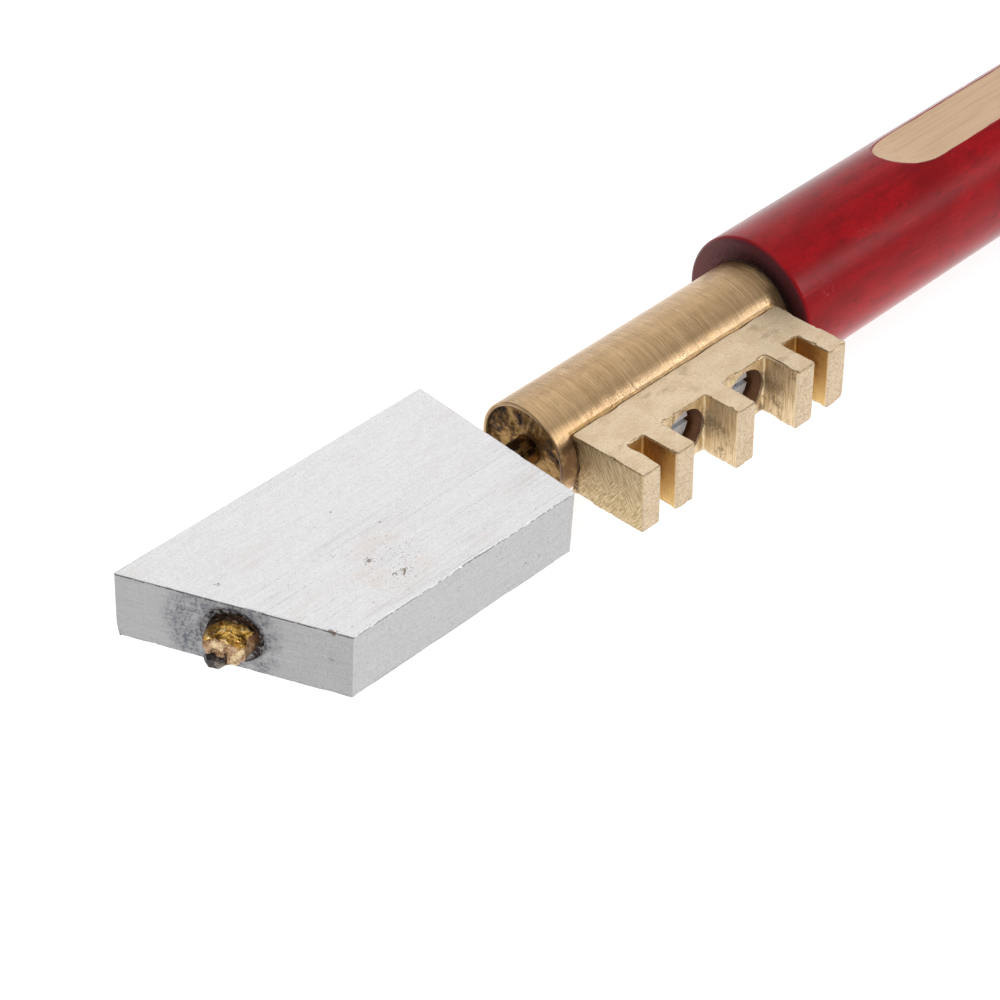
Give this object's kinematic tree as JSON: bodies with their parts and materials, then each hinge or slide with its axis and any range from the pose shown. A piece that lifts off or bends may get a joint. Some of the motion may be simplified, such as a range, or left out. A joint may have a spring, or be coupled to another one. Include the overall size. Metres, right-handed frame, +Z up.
{
  "type": "glass cutter",
  "caption": "Diamond glass cutter with a red wooden handle, a brass shank with a notched breaker plate, and a swivelling aluminium head that carries a diamond at its slanted nose.",
  "frame": {"origin": "centre of the handle's front face, on the tool's long axis", "axes": "+X along the tool from the cutting head to the tail, +Y away from the breaker plate's teeth, +Z up"},
  "size_m": [0.182, 0.0157, 0.0104],
  "materials": {
    "lacquered_wood": "glossy deep red lacquer over turned wood, with a planed flat of bare pale wood",
    "shank_brass": "satin, brushed round the axis",
    "core_brass": "rough, tarnished and stained",
    "plate_brass": "matt, filed and tumbled",
    "screw_steel": "bright zinc plated",
    "dark_steel": "oiled dark steel",
    "aluminium": "brushed lengthwise, with light scratches",
    "post_brass": "rough brazed",
    "burnt_solder": "dark flux residue",
    "braze": "cast, lumpy",
    "diamond": "dark natural industrial diamond"
  },
  "bodies": {
    "grip": {"handle": "lacquered_wood", "shank_tube": "shank_brass", "shank_core": "core_brass", "breaker_plate": "plate_brass", "front_plate_screw": "screw_steel", "rear_plate_screw": "screw_steel"},
    "head": {"swivel_spindle": "dark_steel", "head_block": "aluminium", "diamond_post": "post_brass", "post_solder": "burnt_solder", "tip_braze": "braze", "diamond": "diamond"}
  },
  "joints": [
    {"name": "head_swivel", "type": "hinge", "parent": "grip", "child": "head", "pos_m": [-0.0228, 0, 0], "axis": [1, 0, 0], "range_deg": [-16.5, 7.5]}
  ]
}
